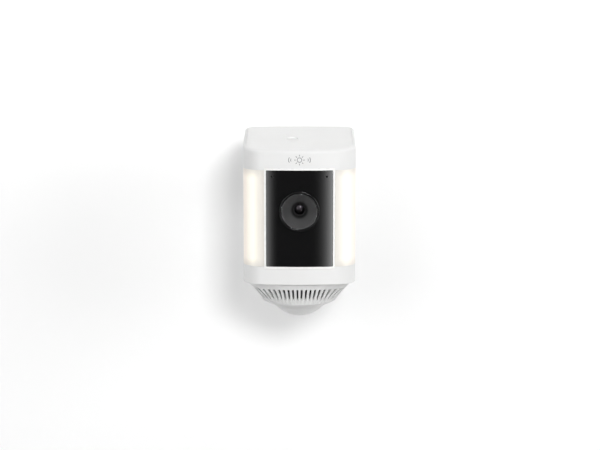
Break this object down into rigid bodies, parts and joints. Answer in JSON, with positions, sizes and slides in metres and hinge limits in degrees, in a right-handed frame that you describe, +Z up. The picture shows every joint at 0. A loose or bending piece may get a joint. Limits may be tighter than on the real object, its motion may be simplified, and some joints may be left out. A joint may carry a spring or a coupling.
{
  "type": "floodlight security camera",
  "caption": "White wall-mounted security camera head with a light bar at each front corner, a black lens panel, a slotted grille and a motion-sensing dome below, on an adjustable ball mount.",
  "frame": {"origin": "centre of the wall plate's back face, on the wall, level with the ball's centre", "axes": "+Z up, +Y into the wall, so that the camera looks along -Y; +X is to the right of someone facing the camera's face"},
  "size_m": [0.075, 0.123, 0.126],
  "materials": {
    "white_plastic": "fine-textured white ABS and polycarbonate",
    "soft_white": "soft white elastomer",
    "gloss_black": "polished black acrylic, infrared passing",
    "satin_black": "satin black nylon",
    "dark_grey": "matte dark grey plastic",
    "pack_grey": "fine-textured grey battery case",
    "opal": "opal white light-diffusing polycarbonate",
    "pir_white": "translucent white polyethylene Fresnel dome",
    "clear_glass": "coated optical glass",
    "black_rubber": "matte silicone rubber",
    "green_board": "solder-masked fibreglass board",
    "white_board": "white-masked aluminium-core board",
    "black_chip": "moulded epoxy package",
    "steel": "brushed stainless steel",
    "aluminium": "extruded aluminium",
    "brass": "turned brass",
    "gold": "gold-plated contact",
    "copper": "copper foil on polyimide",
    "led_yellow": "phosphor-filled silicone",
    "cell_foil": "laminated pouch foil"
  },
  "bodies": {
    "mount": {"wall_plate": "white_plastic"},
    "seat": {"ball_seat": "dark_grey"},
    "ball": {"ball_stem": "steel"},
    "clamp": {"clamp_ring": "white_plastic", "clamp_set_screw": "steel"},
    "head": {"front_housing": "white_plastic", "rear_housing": "white_plastic", "side_seals": "black_rubber", "top_lid": "white_plastic", "lid_gasket": "black_rubber", "bottom_grille": "white_plastic", "base_plate": "dark_grey", "mount_insert": "brass", "housing_screws": "steel", "panel_bezel": "white_plastic", "face_panel": "gloss_black", "lens_ring": "satin_black", "lens_window": "clear_glass", "lens_hood": "dark_grey", "lens_barrel": "satin_black", "lens_elements": "clear_glass", "lens_holder": "satin_black", "infrared_filter": "clear_glass", "image_sensor": "black_chip", "sensor_board": "green_board", "front_board": "green_board", "infrared_leds": "clear_glass", "microphones": "steel", "microphone_boots": "black_rubber", "left_diffuser": "opal", "right_diffuser": "opal", "light_reflectors": "white_plastic", "led_boards": "white_board", "led_packages": "led_yellow", "heat_spreaders": "aluminium", "main_board": "green_board", "main_chips": "black_chip", "shield_cans": "steel", "flat_cables": "copper", "wifi_antenna": "copper", "pir_dome": "pir_white", "pir_retainer": "dark_grey", "pir_board": "green_board", "pir_sensors": "steel", "speaker_frame": "satin_black", "speaker_cone": "dark_grey", "speaker_magnet": "steel", "battery_bay": "satin_black", "bay_contacts": "gold", "battery_case": "pack_grey", "battery_cells": "cell_foil", "door_pin": "steel", "button_switch": "dark_grey", "power_jack": "satin_black"},
    "door": {"battery_door": "white_plastic", "door_seal": "black_rubber"},
    "latch": {"door_latch": "white_plastic"},
    "tab": {"battery_tab": "satin_black"},
    "button": {"setup_button": "white_plastic"},
    "port": {"port_cover": "soft_white"}
  },
  "joints": [
    {"name": "head_pan", "type": "hinge", "parent": "mount", "child": "seat", "pos_m": [0, -0.026, 0], "axis": [0, 0, 1], "range_deg": [-25, 25]},
    {"name": "head_tilt", "type": "hinge", "parent": "seat", "child": "ball", "pos_m": [0, -0.026, 0], "axis": [1, 0, 0], "range_deg": [-25, 25]},
    {"name": "head_roll", "type": "hinge", "parent": "ball", "child": "head", "pos_m": [0, -0.026, 0], "axis": [0, -1, 0], "continuous": true},
    {"name": "clamp_turn", "type": "hinge", "parent": "mount", "child": "clamp", "pos_m": [0, -0.026, 0], "axis": [0, -1, 0], "range_deg": [0, 90]},
    {"name": "door_hinge", "type": "hinge", "parent": "head", "child": "door", "pos_m": [0, -0.0548, -0.056], "axis": [-1, 0, 0], "range_deg": [0, 90]},
    {"name": "latch_slide", "type": "slide", "parent": "door", "child": "latch", "axis": [0, 0, 1], "range_m": [0, 0.0024]},
    {"name": "battery_release", "type": "slide", "parent": "head", "child": "tab", "axis": [0, 0, -1], "range_m": [0, 0.0015], "stiffness_N_per_m": 500},
    {"name": "button_press", "type": "slide", "parent": "head", "child": "button", "axis": [0, 0, -1], "range_m": [0, 0.0005], "stiffness_N_per_m": 1500},
    {"name": "port_cover_hinge", "type": "hinge", "parent": "head", "child": "port", "pos_m": [0.014, -0.0531, 0.00875], "axis": [-1, 0, 0], "range_deg": [0, 90], "stiffness_Nm_per_rad": 0.004}
  ]
}
